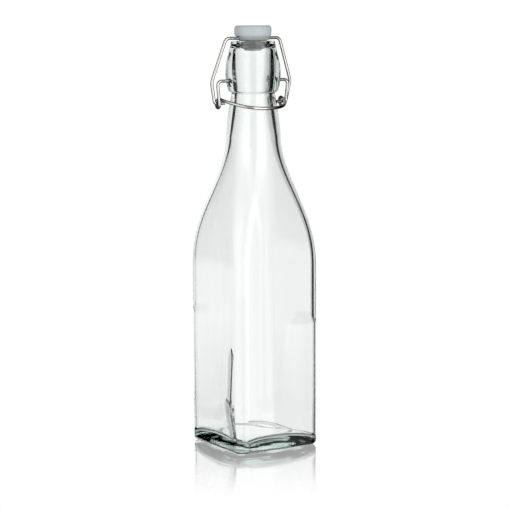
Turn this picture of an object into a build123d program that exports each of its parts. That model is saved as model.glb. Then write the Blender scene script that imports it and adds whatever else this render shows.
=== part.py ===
from build123d import *
import math
import os

# Swing top bottle, about half a litre: a square glass bottle with a wire bail closure.
# Millimetres, +Z up. The origin is the centre of the base, on the surface the bottle stands on.
# The closure's hinges all run along X, and the lever's handle lies in front of the neck, at -Y.

# ---- bottle body ----
BODY_SIDE = 61.8            # across the flat faces
BODY_CORNER_R = 7.5         # vertical corners
HEEL_R = 3.0                # rounding between the faces and the underside
BODY_TOP = 118.0            # where the straight faces end and the shoulder begins
BODY_WALL = 2.5
BASE_THICKNESS = 8.0
FLOOR_EDGE_R = 4.0          # inside, between floor and walls
PUSH_UP_R = 23.0            # recess under the base, so that the bottle stands on a ring
PUSH_UP_DEPTH = 3.2

# ---- shoulder: the square section shrinks and rounds off into the neck ----
NECK_FOOT_Z = 200.0         # above this the section is round
NECK_FOOT_R = 17.5
SHOULDER_TAPER = 1.0        # straight part of the shoulder's narrowing
SHOULDER_DROOP = 1.2        # over 1 moves the fall of the shoulder upwards
SHOULDER_STEPS = 11
SHOULDER_LEAD = 8.0         # straight length below the shoulder that its surface runs on into
SHOULDER_WALL_GAIN = 0.9    # the wall thickens by this from the body to the round neck
SHOULDER_SWELL = 12.0       # degrees a section's side turns by on each half, at the top

# ---- neck and finish: outline as radius and height ----
NECK_MIDDLE = (16.3, 212.6)
NECK_WAIST = (14.1, 226.0)  # narrowest place, just under the finish
COLLAR_FOOT = (15.3, 228.3) # lower edge of the finish
COLLAR_LOW = (17.0, 232.2)
COLLAR_WIDEST = (17.65, 239.5)
COLLAR_HIGH = (16.6, 248.8)
RIM_R = 14.2
RIM_Z = 260.4
RIM_EDGE_R = 0.9
MOUTH_R = 8.7               # narrowest place of the mouth
MOUTH_EDGE_R = 1.2
BORE_FOOT = (11.6, 216.0)
BORE_WAIST = (10.5, 229.0)  # the bore is narrower under the finish
BORE_R = 11.3               # in the finish, between the next two heights
BORE_LOW = 240.0
BORE_HIGH = 253.6

# ---- wire closure ----
WIRE_R = 1.02
RUNNING = 0.06              # radial clearance of a wire in its hole
PIVOT_Z = 235.3             # lever hinge, in the glass dimples
DIMPLE_R = 2.9
DIMPLE_DROP = 1.3           # the dimple's middle lies this far below the hinge
DIMPLE_DEPTH = 1.5
DIMPLE_MARGIN = 1.0         # the cutting cone begins this far outside the glass
SOCKET_END_X = 14.6         # bottom of the socket that the lever's end sits in
LEVER_END_X = 15.0
LEVER_BEND_R = 2.8
EYE_Y = 3.2                 # the eye lies behind the lever's hinge: it is locked over centre
EYE_Z = 221.1
EYE_R = 2.78                # radius of the coil's centre line
EYE_X = 24.9                # outer strand of the coil
EYE_PITCH = 2.14            # one wire's thickness and a little
HANDLE_DIP = 15.0           # degrees below level at which the handle leaves the coil
HANDLE_REACH = 18.3         # the handle's front, before the axis of the neck
HANDLE_SHOULDER = (19.6, -7.0)  # a point on the handle's side, x and y

HOLE_Z = 262.1              # bail hinge, through the stopper
BAIL_TOP_X = 20.0           # corners of the bail's outline
BAIL_KNEE = (29.6, 234.6)
BAIL_FOOT_X = 26.9
BAIL_PIN_END_X = 19.6
BAIL_TOP_R = 3.6
BAIL_KNEE_R = 9.0
BAIL_FOOT_R = 2.0

# ---- stopper and gasket ----
HEAD_R = 11.7
HEAD_TOP = 270.0
HEAD_FOOT = 263.5
HEAD_EDGE_R = 1.5
HEAD_BULGE = (11.85, 266.0)
HEAD_FOOT_R = 11.4
WAIST_TOP_R = 11.0
WAIST_FOOT_R = 10.3
WAIST_FOOT = 260.9
STEM_R = 4.6
TIP_R = 5.5
TIP_TOP = 256.3
TIP_FOOT = 253.7
TIP_EDGE_R = 0.6
GASKET_TOP_R = 8.9          # the gasket is drawn as it is squeezed, just clear of the mouth's edge
GASKET_MID = (7.95, 258.4)
GASKET_BELLY = (7.4, 257.3)
GASKET_FOOT_R = 5.9


def rounded_square(half, corner_r, z):
    return Plane.XY.offset(z) * RectangleRounded(2 * half, 2 * half, corner_r)


def up_the_shoulder(z):
    """0 at the foot of the shoulder and below, 1 at the foot of the round neck."""
    return max(z - BODY_TOP, 0) / (NECK_FOOT_Z - BODY_TOP)


def half_width(z):
    """Half the width of a section across its flats."""
    share = up_the_shoulder(z)
    fall = math.cos(math.pi / 2 * share ** SHOULDER_DROOP) ** 2
    return (NECK_FOOT_R + SHOULDER_TAPER * (1 - share)
            + (BODY_SIDE / 2 - NECK_FOOT_R - SHOULDER_TAPER) * fall)


def corner_centre(z):
    """How far the centres of a section's corners lie from its middle: on the round neck not at all."""
    return (BODY_SIDE / 2 - BODY_CORNER_R) * math.cos(math.pi / 2 * up_the_shoulder(z)) ** 2


def shoulder_section(centre, corner_r, swell, z):
    """Square with round corners and sides that swell outward; a circle when centre is 0."""
    side_x = centre + corner_r * math.cos(swell)
    side_y = centre + corner_r * math.sin(swell)
    if swell > 0:
        middle_x = side_x + side_y * math.tan(swell / 2)
        side = ThreePointArc((side_x, -side_y), (middle_x, 0), (side_x, side_y))
    else:
        side = Line((side_x, -side_y), (side_x, side_y))
    swell_deg = math.degrees(swell)
    corner = CenterArc((centre, centre), corner_r, swell_deg, 90 - 2 * swell_deg)
    edges = [Rot(0, 0, turn) * edge for turn in (0, 90, 180, 270) for edge in (side, corner)]
    return Plane.XY.offset(z) * make_face(edges)


def shoulder(wall, wall_gain):
    """The shoulder's solid, moved in by a wall that grows by wall_gain on the way up."""
    step = (NECK_FOOT_Z - BODY_TOP) / SHOULDER_STEPS
    heights = [BODY_TOP - SHOULDER_LEAD] + [BODY_TOP + step * i for i in range(SHOULDER_STEPS + 1)]
    sections = []
    for z in heights:
        share = up_the_shoulder(z)
        corner_r = half_width(z) - wall - wall_gain * share - corner_centre(z)
        swell = math.radians(SHOULDER_SWELL) * share ** 2
        sections.append(shoulder_section(corner_centre(z), corner_r, swell, z))
    return loft(sections)


def neck_outside():
    """Solid of revolution from the top of the shoulder to the rim."""
    start = (NECK_FOOT_R, NECK_FOOT_Z)
    rim_start = (RIM_R, RIM_Z - RIM_EDGE_R)
    neck = Spline(start, NECK_MIDDLE, NECK_WAIST, tangents=((-0.05, 1), (0, 1)))
    throat = Spline(NECK_WAIST, COLLAR_FOOT, tangents=((0, 1), (1, 0.2)))
    collar = Spline(COLLAR_FOOT, COLLAR_LOW, COLLAR_WIDEST, COLLAR_HIGH, rim_start,
                    tangents=((0.9, 1), (-0.1, 1)))
    edge_centre = (RIM_R - RIM_EDGE_R, RIM_Z - RIM_EDGE_R)
    edge = CenterArc(edge_centre, RIM_EDGE_R, 0, 90)
    closing = Polyline((RIM_R - RIM_EDGE_R, RIM_Z), (0, RIM_Z), (0, NECK_FOOT_Z), start)
    outline = make_face([neck, throat, collar, edge, closing])
    return revolve(Plane.XZ * outline, Axis.Z)


def neck_inside():
    """The bore, from the top of the shoulder's cavity to above the rim."""
    low = (NECK_FOOT_R - BODY_WALL - SHOULDER_WALL_GAIN, NECK_FOOT_Z)
    under_mouth = (MOUTH_R, RIM_Z - 2 * MOUTH_EDGE_R)
    bore = Spline(low, BORE_FOOT, BORE_WAIST, (BORE_R, BORE_LOW), (BORE_R, BORE_HIGH), under_mouth,
                  tangents=((-0.05, 1), (-0.5, 1)))
    throat = Line(under_mouth, (MOUTH_R, RIM_Z - MOUTH_EDGE_R))
    edge_centre = (MOUTH_R + MOUTH_EDGE_R, RIM_Z - MOUTH_EDGE_R)
    edge = CenterArc(edge_centre, MOUTH_EDGE_R, 90, 90)
    closing = Polyline((MOUTH_R + MOUTH_EDGE_R, RIM_Z), (MOUTH_R + MOUTH_EDGE_R, RIM_Z + 1),
                       (0, RIM_Z + 1), (0, NECK_FOOT_Z), low)
    outline = make_face([bore, throat, edge, closing])
    return revolve(Plane.XZ * outline, Axis.Z)


def block(half, corner_r, foot, top, foot_r):
    """Rounded square bar with its lower edge rounded."""
    bar = extrude(rounded_square(half, corner_r, foot), top - foot)
    lower_edges = bar.faces().sort_by(Axis.Z)[0].edges()
    return fillet(lower_edges, foot_r)


def push_up():
    """The dome under the base."""
    ball_r = (PUSH_UP_R ** 2 + PUSH_UP_DEPTH ** 2) / (2 * PUSH_UP_DEPTH)
    return Pos(0, 0, PUSH_UP_DEPTH - ball_r) * Sphere(ball_r)


def dimple(side):
    """A round dimple in the collar, with a close socket for the lever's end at its upper part."""
    mouth_x = COLLAR_WIDEST[0] + DIMPLE_MARGIN
    middle = (side * mouth_x, 0, PIVOT_Z - DIMPLE_DROP)
    along = Plane(origin=middle, x_dir=(0, 1, 0), z_dir=(-side, 0, 0))
    floor_r = WIRE_R + DIMPLE_DROP
    cone = loft([along * Circle(DIMPLE_R), along.offset(DIMPLE_MARGIN + DIMPLE_DEPTH) * Circle(floor_r)])
    at_hinge = Plane(origin=(side * SOCKET_END_X, 0, PIVOT_Z), z_dir=(side, 0, 0))
    socket = extrude(at_hinge * Circle(WIRE_R + RUNNING), mouth_x - SOCKET_END_X)
    return cone + socket


def bottle():
    half = BODY_SIDE / 2
    block_top = BODY_TOP - SHOULDER_LEAD
    outside = block(half, BODY_CORNER_R, 0, block_top, HEEL_R) + shoulder(0, 0) + neck_outside()
    inner_r = BODY_CORNER_R - BODY_WALL
    cavity = block(half - BODY_WALL, inner_r, BASE_THICKNESS, block_top, FLOOR_EDGE_R)
    cavity += shoulder(BODY_WALL, SHOULDER_WALL_GAIN)
    cavity += neck_inside()
    return outside - cavity - push_up() - dimple(1) - dimple(-1)


def mirrored(edges):
    return [edge.mirror(Plane.YZ) for edge in edges]


def lever_path():
    """Centre line of the lever: dimple, crank, coiled eye, handle, and the same on the other side."""
    lean = EYE_PITCH / (2 * math.pi * EYE_R)
    eye = Vector(0, EYE_Y, EYE_Z)
    to_pivot = Vector(0, 0, PIVOT_Z) - eye
    facing = math.atan2(to_pivot.Z, to_pivot.Y)
    begin = facing + math.acos(EYE_R / to_pivot.length)
    end = 2 * math.pi + math.radians(90 + HANDLE_DIP)

    def on_coil(angle):
        return Vector(EYE_X - EYE_R * lean * (angle - begin),
                      EYE_Y + EYE_R * math.cos(angle), EYE_Z + EYE_R * math.sin(angle))

    def along_coil(angle):
        return Vector(-lean, -math.sin(angle), math.cos(angle)).normalized()

    crank_length = math.sqrt(to_pivot.length ** 2 - EYE_R ** 2)
    crank_top = on_coil(begin) - along_coil(begin) * crank_length * math.sqrt(1 + lean ** 2)
    corner = math.acos(along_coil(begin).dot(Vector(1, 0, 0)))
    setback = LEVER_BEND_R * math.tan(corner / 2)
    bend_start = crank_top - Vector(setback, 0, 0)
    bend_end = crank_top + along_coil(begin) * setback

    pin = Line(Vector(LEVER_END_X, 0, PIVOT_Z), bend_start)
    bend = TangentArc(bend_start, bend_end, tangent=Vector(1, 0, 0))
    crank = Line(bend_end, on_coil(begin))
    coil_axis = Vector(EYE_X, EYE_Y, EYE_Z)
    coil_start = Plane(origin=coil_axis, x_dir=(0, math.cos(begin), math.sin(begin)), z_dir=(-1, 0, 0))
    turns = (end - begin) / (2 * math.pi)
    coil = coil_start * Helix(EYE_PITCH, EYE_PITCH * turns, EYE_R, lefthand=True)
    slope = math.tan(math.radians(HANDLE_DIP))
    leave = on_coil(end)
    side_x, side_y = HANDLE_SHOULDER
    side = Vector(side_x, side_y, leave.Z - slope * (leave.Y - side_y))
    front = Vector(0, -HANDLE_REACH, leave.Z - slope * (leave.Y + HANDLE_REACH))
    handle = Spline(leave, side, front, tangents=(along_coil(end), Vector(-1, 0, 0)))
    half = [pin, bend, crank, coil, handle]
    return Wire(half + mirrored(half))


def lever_wire():
    start = Plane(origin=(LEVER_END_X, 0, PIVOT_Z), z_dir=(1, 0, 0))
    return sweep(start * Circle(WIRE_R), path=lever_path())


def on_bail(x, z):
    """A point of the bail's plane, which leans back from the stopper to the eyes."""
    return Vector(x, EYE_Y * (HOLE_Z - z) / (HOLE_Z - EYE_Z), z)


def bail_wire():
    knee_x, knee_z = BAIL_KNEE
    half = [on_bail(BAIL_PIN_END_X, EYE_Z), on_bail(BAIL_FOOT_X, EYE_Z), on_bail(knee_x, knee_z),
            on_bail(BAIL_TOP_X, HOLE_Z)]
    other = [Vector(-point.X, point.Y, point.Z) for point in reversed(half)]
    radii = [BAIL_FOOT_R, BAIL_KNEE_R, BAIL_TOP_R]
    path = FilletPolyline(*half, *other, radius=radii + radii[::-1])
    start = Plane(origin=half[0], z_dir=(1, 0, 0))
    return sweep(start * Circle(WIRE_R), path=path)


def stopper():
    head_edge = HEAD_R - HEAD_EDGE_R
    outline = [
        Line((0, HEAD_TOP), (head_edge, HEAD_TOP)),
        CenterArc((head_edge, HEAD_TOP - HEAD_EDGE_R), HEAD_EDGE_R, 0, 90),
        ThreePointArc((HEAD_R, HEAD_TOP - HEAD_EDGE_R), HEAD_BULGE, (HEAD_FOOT_R, HEAD_FOOT)),
        Polyline((HEAD_FOOT_R, HEAD_FOOT), (WAIST_TOP_R, HEAD_FOOT), (WAIST_FOOT_R, WAIST_FOOT),
                 (STEM_R, WAIST_FOOT), (STEM_R, TIP_TOP), (TIP_R, TIP_TOP),
                 (TIP_R, TIP_FOOT + TIP_EDGE_R)),
        CenterArc((TIP_R - TIP_EDGE_R, TIP_FOOT + TIP_EDGE_R), TIP_EDGE_R, 0, -90),
        Polyline((TIP_R - TIP_EDGE_R, TIP_FOOT), (0, TIP_FOOT), (0, HEAD_TOP)),
    ]
    body = revolve(Plane.XZ * make_face(outline), Axis.Z)
    across = Plane(origin=(-2 * HEAD_R, 0, HOLE_Z), z_dir=(1, 0, 0))
    return body - extrude(across * Circle(WIRE_R + RUNNING), 4 * HEAD_R)


def gasket():
    outline = [
        Polyline((GASKET_FOOT_R, TIP_TOP), (STEM_R, TIP_TOP), (STEM_R, WAIST_FOOT),
                 (GASKET_TOP_R, WAIST_FOOT), GASKET_MID),
        ThreePointArc(GASKET_MID, GASKET_BELLY, (GASKET_FOOT_R, TIP_TOP)),
    ]
    return revolve(Plane.XZ * make_face(outline), Axis.Z)


if __name__ == "__main__":
    os.makedirs("parts", exist_ok=True)
    pieces = {"bottle": bottle, "stopper": stopper, "gasket": gasket,
              "bail_wire": bail_wire, "lever_wire": lever_wire}
    for name, make in pieces.items():
        export_step(make(), f"parts/{name}.step")
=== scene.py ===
import math

import bpy
import numpy as np
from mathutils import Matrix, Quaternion, Vector


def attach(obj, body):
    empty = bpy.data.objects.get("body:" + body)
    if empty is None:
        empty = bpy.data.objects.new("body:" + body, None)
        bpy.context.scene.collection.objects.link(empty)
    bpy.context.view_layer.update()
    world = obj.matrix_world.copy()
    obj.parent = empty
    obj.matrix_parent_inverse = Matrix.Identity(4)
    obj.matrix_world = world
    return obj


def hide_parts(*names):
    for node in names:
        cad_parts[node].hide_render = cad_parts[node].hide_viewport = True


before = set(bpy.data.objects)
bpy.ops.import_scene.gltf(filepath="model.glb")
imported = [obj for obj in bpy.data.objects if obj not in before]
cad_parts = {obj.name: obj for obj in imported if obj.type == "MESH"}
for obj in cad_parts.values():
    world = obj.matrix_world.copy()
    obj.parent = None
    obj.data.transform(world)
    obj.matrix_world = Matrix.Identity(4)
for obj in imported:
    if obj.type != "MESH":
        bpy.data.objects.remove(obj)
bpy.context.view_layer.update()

MM = 0.001

# ---- the bottle's outline, in millimetres, as in the CAD source ----
BODY_SIDE = 61.8
BODY_CORNER_R = 7.5
CORNER_CENTRE = BODY_SIDE / 2 - BODY_CORNER_R   # of a corner of the body, from the axis
HEEL_R = 3.0
BODY_TOP = 118.0
NECK_FOOT_Z = 200.0
NECK_FOOT_R = 17.5
SHOULDER_TAPER = 1.0
SHOULDER_DROOP = 1.2
SHOULDER_SWELL = math.radians(12)
RIM_R, RIM_Z, RIM_EDGE_R = 14.2, 260.4, 1.1
MOUTH_R, MOUTH_EDGE_R = 8.7, 1.3
PIVOT_Z = 235.3
HEAD_FOOT_Z = 263.5 * MM        # where the stopper's head ends and its waist begins
# radius and height of the push-up under the base
PUSH_UP_R = 23
PUSH_UP = [(0, 3.2), (8, 3.1), (14, 2.75), (18, 2.2), (20.5, 1.5), (22, 0.75), (22.8, 0.2), (23, 0.02)]
# height and radius above the shoulder, outside and in the bore
OUTSIDE = [(200, 17.5), (206, 17.05), (212.6, 16.3), (219, 15.25), (223, 14.5), (225.8, 14.1), (227.6, 14.15),
           (227.85, 14.4), (228.1, 15.2), (228.5, 15.8), (229.6, 16.25), (232.2, 16.95), (235.5, 17.45),
           (239.5, 17.65), (244, 17.4), (248.8, 16.6), (253, 15.55), (256.5, 14.75), (259.3, 14.2)]
BORE = [(200, 14.1), (208, 12.75), (216, 11.6), (222, 10.9), (229, 10.5), (233.5, 10.7), (238, 11.2),
        (241, 11.45), (246, 11.6), (252, 11.55), (254.6, 11.2), (256.3, 10.3), (257.6, 9.0), (258.4, 8.75),
        (259.1, 8.7)]

# ---- the dimple in each side of the finish, and the lever's socket in it ----
DIMPLE_DROP = 1.3               # the dimple's middle lies this far below the lever's hinge
DIMPLE_FLOOR_X, DIMPLE_FLOOR_R, DIMPLE_R = 16.2, 2.0, 3.1
SOCKET_FLOOR_X, SOCKET_FLOOR_R, SOCKET_R = 14.55, 1.12, 1.75
DIMPLES_FROM, DIMPLES_TO = 228, 240
SIDE_OF_COLLAR_X = 12           # the dimples lie in the part of the collar that is further out than this

# ---- inside: what blown glass has ----
WALL_FOOT = 20.0                # above this the inside's rings are level, below they follow the domed floor
FLOOR_WALL_Z = 8                # the wall at the floor is as thick as the pattern says at this height
LOWEST_FLOOR = 4.0
# Two folds in the glass inside the left face, by the front corner: height and y along each, height, width.
FOLDS = [([(26, -16.4), (34, -17.2), (50, -18.6), (66, -19.8)], 1.5, 1.5),
         ([(2, -20.2), (9, -20.2), (18, -18.2), (33, -14.0)], 2.5, 2.1)]
FOLDS_TOP = 72

# ---- the skin's mesh ----
SIDE_POINTS = 84                # vertices along one flat side of a ring
CORNER_POINTS = 28              # and round one corner
RING = 4 * (SIDE_POINTS + CORNER_POINTS)
ROUND = 2 * math.pi * np.arange(RING) / RING
BEADS = 0.5 + 0.5 * np.cos(2 * math.pi * np.arange(RING) / 4)   # the stipple of the bearing face


def smooth_step(x, low, high):
    t = np.clip((np.asarray(x, float) - low) / (high - low), 0, 1)
    return t * t * (3 - 2 * t)


def through(points, z):
    """A smooth curve through (height, value) points, monotone between them."""
    zs, vs = np.array(points, float).T
    slope = np.diff(vs) / np.diff(zs)
    m = np.zeros(len(zs))
    m[0], m[-1] = slope[0], slope[-1]
    for i in range(1, len(zs) - 1):
        if slope[i - 1] * slope[i] > 0:
            a, b = zs[i] - zs[i - 1], zs[i + 1] - zs[i]
            m[i] = (a + b) * 3 / ((2 * b + a) / slope[i - 1] + (b + 2 * a) / slope[i])
    i = int(np.clip(np.searchsorted(zs, z) - 1, 0, len(zs) - 2))
    h = zs[i + 1] - zs[i]
    t = (z - zs[i]) / h
    return ((1 + 2 * t) * (1 - t) ** 2 * vs[i] + t * (1 - t) ** 2 * h * m[i]
            + t * t * (3 - 2 * t) * vs[i + 1] + t * t * (t - 1) * h * m[i + 1])


def up_the_shoulder(z):
    return min(max(z - BODY_TOP, 0) / (NECK_FOOT_Z - BODY_TOP), 1)


def outer_section(z):
    """Corner centre, corner radius and swell of the outside at a height."""
    share = up_the_shoulder(z)
    if z >= NECK_FOOT_Z:
        return 0.0, through(OUTSIDE, z), SHOULDER_SWELL
    centre = CORNER_CENTRE * math.cos(math.pi / 2 * share) ** 2
    fall = math.cos(math.pi / 2 * share ** SHOULDER_DROOP) ** 2
    half = NECK_FOOT_R + SHOULDER_TAPER * (1 - share) + (BODY_SIDE / 2 - NECK_FOOT_R - SHOULDER_TAPER) * fall
    return centre, half - centre, SHOULDER_SWELL * share ** 2


def section(centre, corner_r, swell):
    """Points and outward normals round a section, the corners in order (+,+), (-,+), (-,-), (+,-)."""
    side_y = centre + corner_r * math.sin(swell)
    side_x = centre + corner_r * math.cos(swell)
    t = (np.arange(SIDE_POINTS) + 0.5) / SIDE_POINTS * 2 - 1
    if swell > 1e-6:
        side_r = side_y / math.sin(swell)
        ang = t * swell
        px, py = side_x + side_r * (np.cos(ang) - math.cos(swell)), side_r * np.sin(ang)
    else:
        ang = t * 0
        px, py = side_x + t * 0, side_y * t
    u = (np.arange(CORNER_POINTS) + 0.5) / CORNER_POINTS
    turn = swell + u * (math.pi / 2 - 2 * swell)
    qx, qy = centre + corner_r * np.cos(turn), centre + corner_r * np.sin(turn)
    x, y = np.concatenate([px, qx]), np.concatenate([py, qy])
    a = np.concatenate([ang, turn])
    xs, ys, nx, ny = [], [], [], []
    for c, s in ((1, 0), (0, 1), (-1, 0), (0, -1)):
        xs.append(x * c - y * s)
        ys.append(x * s + y * c)
        nx.append(np.cos(a) * c - np.sin(a) * s)
        ny.append(np.cos(a) * s + np.sin(a) * c)
    return np.concatenate(xs), np.concatenate(ys), np.concatenate(nx), np.concatenate(ny)


def outside_ring(z):
    return section(*outer_section(z))


def corner_shares():
    """How far each vertex of a ring belongs to each corner's part of the wall."""
    shares = np.zeros((4, RING))
    for corner in range(4):
        middle = corner * (SIDE_POINTS + CORNER_POINTS) + SIDE_POINTS + CORNER_POINTS / 2
        gap = np.abs((np.arange(RING) + 0.5 - middle + RING / 2) % RING - RING / 2)
        shares[corner] = 1 - smooth_step(gap, 0.6 * CORNER_POINTS, 1.9 * CORNER_POINTS)
    return shares


CORNER_SHARE = corner_shares()


def corner_walls(z):
    """Wall at each corner, and how much further in than the outside's the inside corner's centre lies."""
    left, right = smooth_step(z, 85.5, 91), smooth_step(z, 79.5, 85)
    low = 1 - smooth_step(z, 14, 36)
    return [
        (1.7, 1.5),                                                     # +x +y, at the back
        (1.1 + 1.2 * left + 0.6 * low, 0.0),                            # -x +y, on the left
        (1.6 + 0.8 * low, 1.5),                                         # -x -y, at the front
        (1.0 + 1.4 * right + 0.3 * low, 0.0),                           # +x -y, on the right
    ]


def wall(z, y, nx, ny):
    """Thickness of the wall round a ring: blown glass is uneven, thin in some corners and thick in others."""
    w = 2.0 + 0.22 * np.sin(2 * ROUND + 0.7 + 0.01 * z) + 0.12 * np.sin(5 * ROUND + 1.9 - 0.013 * z)
    w += 0.06 * np.sin(9 * ROUND + 0.02 * z) + 0.03 * np.sin(17 * ROUND - 0.03 * z)
    w = w * (1 - CORNER_SHARE.sum(0))
    quadrant = [(nx >= 0) & (ny >= 0), (nx < 0) & (ny >= 0), (nx < 0) & (ny < 0), (nx >= 0) & (ny < 0)]
    fade = 1 - float(smooth_step(z, 130, 195))
    for share, inside, (thick, drawn_in) in zip(CORNER_SHARE, quadrant, corner_walls(z)):
        w = w + share * thick + np.where(inside, np.abs(nx) + np.abs(ny) - 1, 0) * drawn_in * fade
    on_left = (nx < -0.999) & (z < FOLDS_TOP)
    for path, height, width in FOLDS:
        zs, ys = np.array(path, float).T
        present = float(smooth_step(z, zs[-1] + 3, zs[-1] - 4)) * float(smooth_step(z, zs[0] - 3, zs[0] + 1))
        w = w + np.where(on_left, height * present * np.exp(-((y - np.interp(z, zs, ys)) / width) ** 2), 0)
    even = 2.4 + 1.0 * up_the_shoulder(z)
    blend = float(smooth_step(z, 120, 185))
    return w * (1 - blend) + even * blend


def add_dimples(x, y, z):
    """Presses the dimple and the lever's socket into a ring of the collar, on both sides."""
    from_dimple = np.hypot(y, z - (PIVOT_Z - DIMPLE_DROP))
    from_pin = np.hypot(y, z - PIVOT_Z)
    floor_x = DIMPLE_FLOOR_X + 3.0 * smooth_step(from_dimple, DIMPLE_FLOOR_R, DIMPLE_R)
    socket_x = SOCKET_FLOOR_X + 4.0 * smooth_step(from_pin, SOCKET_FLOOR_R, SOCKET_R)
    pressed = np.sign(x) * np.minimum(np.abs(x), np.minimum(floor_x, socket_x))
    return np.where(np.abs(x) > SIDE_OF_COLLAR_X, pressed, x)


def inside_floor(x, y):
    """Height of the floor inside: flat in the middle, lower in the corners and towards the back corner."""
    z = 9.0 - 2.4e-6 * (x * x + y * y) ** 2 - 0.014 * (x + y) - 3.2 * smooth_step(x + y, -5, 30)
    return np.maximum(z, LOWEST_FLOOR)


def ring(x, y, z):
    return np.column_stack([x, y, np.broadcast_to(z, x.shape)])


def round_ring(r, z):
    x, y, nx, ny = section(0, r, SHOULDER_SWELL)
    return ring(x, y, z)


def underside():
    """The push-up, then the bearing face with its beads."""
    radii = (0.6, 3, 6, 10, 14, 17, 19, 20.5, 21.4, 22, 22.5, 22.8, PUSH_UP_R)
    rings = [round_ring(r, through(PUSH_UP, r)) for r in radii]
    for share in (0.25, 0.5, 0.72, 0.86):
        corner_r = PUSH_UP_R * (1 - share) + (BODY_CORNER_R - HEEL_R) * share
        x, y, nx, ny = section(CORNER_CENTRE * share, corner_r, SHOULDER_SWELL * (1 - share))
        rings.append(ring(x, y, 0.02 + 0.28 * BEADS * (share > 0.4)))
    return rings


def heel():
    """The rounding between the bearing face and the faces, beaded at its foot."""
    rings = []
    centre, corner_r, swell = outer_section(HEEL_R)
    for deg in (0, 12, 24, 36, 48, 60, 72, 84, 90):
        a = math.radians(deg)
        inset = HEEL_R * (1 - math.sin(a))
        bead = 0.22 * BEADS * (deg < 40)
        x, y, nx, ny = section(centre, corner_r - inset, swell)
        rings.append(ring(x - nx * bead, y - ny * bead, HEEL_R * (1 - math.cos(a)) + 0.8 * bead))
    return rings


def faces_and_neck():
    """The outside, from the heel to the rim."""
    rings = []
    collar_foot = [225, 226, 227, 227.6, 227.75, 227.9, 228.0, 228.1, 228.3, 228.5, 229, 229.5]
    heights = [*np.linspace(4.2, 116, 46), *np.linspace(118, 200, 54), *np.linspace(201.5, 224, 15),
               *collar_foot, *np.linspace(230, 239, 40), *np.linspace(240, 259.2, 27)]
    for z in heights:
        x, y, nx, ny = outside_ring(z)
        if DIMPLES_FROM < z < DIMPLES_TO:
            x = add_dimples(x, y, z)
        rings.append(ring(x, y, z))
    return rings


def rim():
    """Rounded outside and inside, flat between."""
    rings = []
    for deg in (20, 40, 60, 80, 90):
        a = math.radians(deg)
        r = RIM_R - RIM_EDGE_R + RIM_EDGE_R * math.cos(a)
        rings.append(round_ring(r, RIM_Z - RIM_EDGE_R + RIM_EDGE_R * math.sin(a)))
    rings += [round_ring(r, RIM_Z) for r in (12.2, 11)]
    for deg in (90, 70, 50, 30, 10):
        a = math.radians(deg)
        r = MOUTH_R + MOUTH_EDGE_R * (1 - math.cos(a))
        rings.append(round_ring(r, RIM_Z - MOUTH_EDGE_R + MOUTH_EDGE_R * math.sin(a)))
    return rings


def bore_and_walls():
    """The inside, from the mouth down to the foot of the wall."""
    bore = [*np.linspace(259, 253, 22), *np.linspace(252, 226, 42), *np.linspace(225, 201.5, 18)]
    rings = [round_ring(through(BORE, z), z) for z in bore]
    for z in [*np.linspace(200, 118, 54), *np.linspace(116, WALL_FOOT, 84)]:
        x, y, nx, ny = outside_ring(z)
        w = wall(z, y, nx, ny)
        rings.append(ring(x - nx * w, y - ny * w, z))
    return rings


def floor_inside():
    """The foot of the wall, the round edge, sharper towards the back corner, and the domed floor."""
    rings = []
    x, y, nx, ny = outside_ring(WALL_FOOT)
    w = wall(FLOOR_WALL_Z, y, nx, ny)
    foot_x, foot_y = x - nx * w, y - ny * w
    edge_r = 3.8 - 3.0 * smooth_step(nx + ny, -0.6, 0.8)
    edge_x, edge_y = foot_x - nx * edge_r, foot_y - ny * edge_r
    edge_z = inside_floor(edge_x, edge_y)
    for share in (0.12, 0.24, 0.36, 0.48, 0.6, 0.72, 0.84, 0.93):
        w = wall(WALL_FOOT + (FLOOR_WALL_Z - WALL_FOOT) * share, y, nx, ny)
        rings.append(ring(x - nx * w, y - ny * w, WALL_FOOT + (edge_z + edge_r - WALL_FOOT) * share))
    for deg in range(0, 91, 6):
        a = math.radians(deg)
        inset = edge_r * (1 - math.cos(a))
        rings.append(ring(foot_x - nx * inset, foot_y - ny * inset, edge_z + edge_r * (1 - math.sin(a))))
    for share in (0.95, 0.88, 0.8, 0.7, 0.6, 0.48, 0.35, 0.2, 0.03):
        rings.append(ring(edge_x * share, edge_y * share, inside_floor(edge_x * share, edge_y * share)))
    return rings


def mesh_from_rings(name, rings):
    """A closed skin: quads between the rings, and a fan at each end."""
    count, n = len(rings), len(rings[0])
    verts = np.vstack(rings + [rings[0].mean(0), rings[-1].mean(0)]) * MM
    i = np.arange(n)
    j = (i + 1) % n
    faces = []
    for k in range(count - 1):
        a, b = k * n, (k + 1) * n
        faces.append(np.column_stack([a + i, a + j, b + j, b + i]))
    quads = np.vstack(faces).tolist()
    first, last = count * n, count * n + 1
    fans = [[first, int(q), int(p)] for p, q in zip(i, j)]
    fans += [[last, (count - 1) * n + int(p), (count - 1) * n + int(q)] for p, q in zip(i, j)]
    mesh = bpy.data.meshes.new(name)
    mesh.from_pydata(verts.tolist(), [], quads + fans)
    mesh.polygons.foreach_set("use_smooth", [True] * len(mesh.polygons))
    mesh.update()
    obj = bpy.data.objects.new(name, mesh)
    bpy.context.scene.collection.objects.link(obj)
    return obj


# ---- short ways to add what several node trees share ----
def fill(tree, node, inputs):
    """Puts constants on a node's inputs, or links them from other nodes' outputs."""
    for socket, value in inputs.items():
        if isinstance(value, bpy.types.NodeSocket):
            tree.links.new(value, node.inputs[socket])
        else:
            node.inputs[socket].default_value = value


def add(tree, kind, inputs=None):
    node = tree.nodes.new(kind)
    fill(tree, node, inputs or {})
    return node


def calc(tree, operation, a, b, clamp=False):
    node = add(tree, "ShaderNodeMath", {0: a, 1: b})
    node.operation, node.use_clamp = operation, clamp
    return node.outputs[0]


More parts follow.
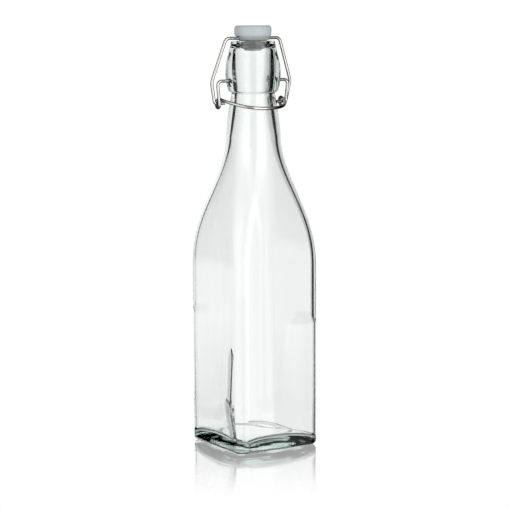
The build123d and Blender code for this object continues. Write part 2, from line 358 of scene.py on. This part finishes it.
def remap(tree, value, ends, out=(0.0, 1.0), interpolation="LINEAR"):
    """A value between the two ends, spread over the range out."""
    node = add(tree, "ShaderNodeMapRange", {"Value": value, "From Min": ends[0], "From Max": ends[1],
                                            "To Min": out[0], "To Max": out[1]})
    node.interpolation_type = interpolation
    return node.outputs["Result"]


def noise(tree, vector, scale, detail):
    node = add(tree, "ShaderNodeTexNoise", {"Vector": vector, "Scale": scale, "Detail": detail})
    return node.outputs["Fac"]


def colours(tree, factor, low, high, places=(0, 1)):
    """One colour up to the first place, the other from the second on."""
    node = add(tree, "ShaderNodeValToRGB", {"Fac": factor})
    for element, place, colour in zip(node.color_ramp.elements, places, (low, high)):
        element.position, element.color = place, colour + (1,)
    return node.outputs["Color"]


def mixed(tree, factor, a, b):
    """Colour a where the factor is 0, b where it is 1."""
    node = add(tree, "ShaderNodeMix")
    node.data_type = "RGBA"
    fill(tree, node, {"Factor": factor, 6: a, 7: b})
    return node.outputs[2]


def facing(tree):
    """0 where a surface faces the viewer, 1 where it is seen edge on."""
    return add(tree, "ShaderNodeLayerWeight", {"Blend": 0.5}).outputs["Facing"]


def bump(tree, height, strength, distance):
    node = add(tree, "ShaderNodeBump", {"Height": height, "Strength": strength, "Distance": distance})
    return node.outputs["Normal"]


# ---- materials ----
def new_material(name):
    mat = bpy.data.materials.new(name)
    mat.use_nodes = True
    tree = mat.node_tree
    return mat, tree, tree.nodes["Principled BSDF"], add(tree, "ShaderNodeTexCoord").outputs["Object"]


def glass_material():
    """Clear glass, green where it is thick, with a faint ripple drawn out along the bottle."""
    mat, tree, bsdf, place = new_material("clear_glass")
    drawn_out = add(tree, "ShaderNodeMapping", {"Vector": place, "Scale": (1, 1, 0.12)}).outputs["Vector"]
    fill(tree, bsdf, {"Base Color": (1, 1, 1, 1), "Transmission Weight": 1.0, "IOR": 1.51, "Roughness": 0.0,
                      "Normal": bump(tree, noise(tree, drawn_out, 55.0, 1.5), 0.05, 0.0006)})
    depth = add(tree, "ShaderNodeVolumeAbsorption", {"Color": (0.28, 0.52, 0.43, 1), "Density": 18.0})
    fill(tree, tree.nodes["Material Output"], {"Volume": depth.outputs["Volume"]})
    return mat


def steel_material():
    """Drawn steel wire, with painted shade turning its colour near black where it is seen edge on."""
    mat, tree, bsdf, place = new_material("steel_wire")
    grain = noise(tree, place, 900.0, 4.0)
    bare = colours(tree, grain, (0.74, 0.73, 0.70), (0.90, 0.89, 0.86), (0.3, 0.75))
    # painted shade: the wire's colour is blended towards near black where it is seen edge on
    edge = remap(tree, facing(tree), (0.08, 0.36))
    fill(tree, bsdf, {"Metallic": 1.0, "Base Color": mixed(tree, edge, bare, (0.05, 0.048, 0.044, 1)),
                      "Roughness": remap(tree, grain, (0.0, 1.0), (0.08, 0.2)),
                      "Normal": bump(tree, grain, 0.15, 0.0001)})
    return mat


def plastic_material():
    """White plastic, with painted shade making the waist greyer and darker than the head, and painted shade
    darkening the grazing edges.
    """
    mat, tree, bsdf, place = new_material("white_plastic")
    grain = noise(tree, place, 1400.0, 2.0)
    head = colours(tree, noise(tree, place, 160.0, 3.0), (0.56, 0.625, 0.66), (0.63, 0.69, 0.72))
    # painted shade: below the head's foot the waist gets a darker, greyer colour than the head
    height = add(tree, "ShaderNodeSeparateXYZ", {"Vector": place}).outputs["Z"]
    in_head = remap(tree, height, (HEAD_FOOT_Z - 0.0003, HEAD_FOOT_Z + 0.0003))
    face = mixed(tree, in_head, (0.53, 0.56, 0.555, 1), head)
    # painted shade: the colour darkens to grey where the plastic is seen edge on
    edge = remap(tree, facing(tree), (0.55, 0.95))
    fill(tree, bsdf, {"Base Color": mixed(tree, edge, face, (0.30, 0.30, 0.305, 1)), "IOR": 1.49,
                      "Subsurface Weight": 0.35, "Subsurface Radius": (0.004, 0.0045, 0.005),
                      "Subsurface Scale": 0.6, "Roughness": remap(tree, grain, (0.0, 1.0), (0.30, 0.46)),
                      "Normal": bump(tree, grain, 0.10, 0.0001)})
    return mat


def rubber_material():
    mat, tree, bsdf, place = new_material("grey_rubber")
    grain = noise(tree, place, 700.0, 4.0)
    fill(tree, bsdf, {"Base Color": colours(tree, grain, (0.29, 0.30, 0.295), (0.40, 0.415, 0.41)),
                      "Subsurface Weight": 0.2, "Subsurface Radius": (0.002, 0.002, 0.002),
                      "Subsurface Scale": 0.5, "Roughness": remap(tree, grain, (0.0, 1.0), (0.42, 0.62)),
                      "Normal": bump(tree, grain, 0.2, 0.0001)})
    return mat


def set_material(obj, mat):
    obj.data.materials.clear()
    obj.data.materials.append(mat)


# ---- the object ----
glass = mesh_from_rings("glass_bottle", underside() + heel() + faces_and_neck() + rim()
                        + bore_and_walls() + floor_inside())
set_material(glass, glass_material())
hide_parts("bottle")
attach(glass, "bottle")

steel = steel_material()
for node in ("bail_wire", "lever_wire"):
    set_material(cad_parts[node], steel)
set_material(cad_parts["stopper"], plastic_material())
set_material(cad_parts["gasket"], rubber_material())

# ---- camera ----
AZIMUTH, ELEVATION, ROLL = math.radians(-32.2), math.radians(7.52), math.radians(-0.283)
DISTANCE, LOOK_AT_Z = 1.201, 0.1232
back = Vector((math.sin(AZIMUTH) * math.cos(ELEVATION), -math.cos(AZIMUTH) * math.cos(ELEVATION),
               math.sin(ELEVATION)))
camera = bpy.data.objects.new("camera", bpy.data.cameras.new("camera"))
bpy.context.scene.collection.objects.link(camera)
camera.rotation_mode = "QUATERNION"
camera.location = Vector((0, 0, LOOK_AT_Z)) + back * DISTANCE
camera.rotation_quaternion = (-back).to_track_quat("-Z", "Y") @ Quaternion((0, 0, 1), ROLL)
camera.data.sensor_width = 36
camera.data.lens = 131.56
camera.data.shift_x = 0.0011
camera.data.clip_start, camera.data.clip_end = 0.01, 100
bpy.context.scene.camera = camera

# ---- floor and light ----
FLOOR_HALF = 3.0
FLOOR_Z = -0.0002
WORLD_STRENGTH = 2.0
LIGHT_OVERHEAD, LIGHT_BELOW, CAMERA_SIDE = 0.45, 0.3, 0.4
# light round the horizon: degrees from straight behind the bottle, + to the right, and brightness
FRONT_LEFT = [(-180, CAMERA_SIDE), (-166, CAMERA_SIDE), (-160, 1.1), (-120, 1.1), (-105, 0.4), (-92, 0.06)]
LEFT_FLAG = [(-84, 0.0), (-40, 0.0)]
LEFT_GLOW = [(-80, 0.6), (-58, 0.6), (-40, 0.45)]       # in place of the flag, a little below the horizon
BACKDROP_AND_RIGHT = [(-36, 1.0), (-20, 1.02), (10, 1.02), (15, 0.75), (34, 0.55), (38, 0.0), (86, 0.0),
                      (98, 0.3), (114, 0.5), (124, 1.8), (159, 1.8), (165, CAMERA_SIDE), (180, CAMERA_SIDE)]


def floor():
    """A pale table that mirrors the bottle close to its foot, and only at a low angle."""
    mesh = bpy.data.meshes.new("floor")
    s = FLOOR_HALF
    mesh.from_pydata([(-s, -s, 0), (s, -s, 0), (s, s, 0), (-s, s, 0)], [], [(0, 1, 2, 3)])
    obj = bpy.data.objects.new("floor", mesh)
    bpy.context.scene.collection.objects.link(obj)
    obj.location.z = FLOOR_Z
    mat = bpy.data.materials.new("pale_floor")
    mat.use_nodes = True
    tree = mat.node_tree
    tree.nodes.clear()
    from_axis = add(tree, "ShaderNodeVectorMath", {0: add(tree, "ShaderNodeTexCoord").outputs["Object"]})
    from_axis.operation = "LENGTH"
    near = remap(tree, from_axis.outputs["Value"], (0.03, 0.15), (0.68, 0.0), "SMOOTHSTEP")
    low = remap(tree, facing(tree), (0.25, 0.73))
    pale = add(tree, "ShaderNodeEmission", {"Color": (1, 1, 1, 1), "Strength": 1.0})
    gloss = add(tree, "ShaderNodeBsdfGlossy", {"Color": (1, 1, 1, 1), "Roughness": 0.08})
    mix = add(tree, "ShaderNodeMixShader", {"Fac": calc(tree, "MULTIPLY", near, low),
                                            1: pale.outputs["Emission"], 2: gloss.outputs["BSDF"]})
    add(tree, "ShaderNodeOutputMaterial", {"Surface": mix.outputs["Shader"]})
    mesh.materials.append(mat)
    obj.visible_transmission = False
    obj.visible_glossy = False


def studio():
    """A bright backdrop between dark flags that draw the edges of the glass, and softer light elsewhere."""
    world = bpy.data.worlds.new("studio")
    bpy.context.scene.world = world
    world.use_nodes = True
    tree = world.node_tree
    tree.nodes.clear()
    direction = add(tree, "ShaderNodeTexCoord").outputs["Generated"]
    ahead = Vector((-back.x, -back.y, 0)).normalized()

    def along(v):
        dot = add(tree, "ShaderNodeVectorMath", {0: direction, 1: v})
        dot.operation = "DOT_PRODUCT"
        return dot.outputs["Value"]

    def grey(value):
        return (value / WORLD_STRENGTH,) * 3 + (1,)

    def ring_of_light(stops):
        ramp = add(tree, "ShaderNodeValToRGB", {"Fac": turn})
        elements = ramp.color_ramp.elements
        elements.remove(elements[-1])
        elements[0].position, elements[0].color = 0, grey(stops[0][1])
        for deg, value in stops[1:]:
            elements.new((deg + 180) / 360).color = grey(value)
        return ramp.outputs["Color"]

    def past(value, start, slope):
        """0 up to the start, then rising to 1."""
        return calc(tree, "MULTIPLY", calc(tree, "SUBTRACT", value, start), slope, clamp=True)

    angle = calc(tree, "ARCTAN2", along(Vector((ahead.y, -ahead.x, 0))), along(ahead))
    turn = calc(tree, "ADD", calc(tree, "DIVIDE", angle, 2 * math.pi), 0.5)
    up = along(Vector((0, 0, 1)))
    down = calc(tree, "MULTIPLY", up, -1.0)
    level = ring_of_light(FRONT_LEFT + LEFT_FLAG + BACKDROP_AND_RIGHT)
    below_level = ring_of_light(FRONT_LEFT + LEFT_GLOW + BACKDROP_AND_RIGHT)
    dip = calc(tree, "SUBTRACT", past(down, 0.10, 25.0), past(down, 0.165, 25.0))
    sides = mixed(tree, dip, level, below_level)
    upper = mixed(tree, past(up, 0.5, 5.0), sides, grey(LIGHT_OVERHEAD))
    all_round = mixed(tree, past(down, 0.55, 4.0), upper, grey(LIGHT_BELOW))
    background = add(tree, "ShaderNodeBackground", {"Color": all_round, "Strength": WORLD_STRENGTH})
    add(tree, "ShaderNodeOutputWorld", {"Surface": background.outputs["Background"]})


floor()
studio()
bpy.context.scene.view_settings.view_transform = "Standard"
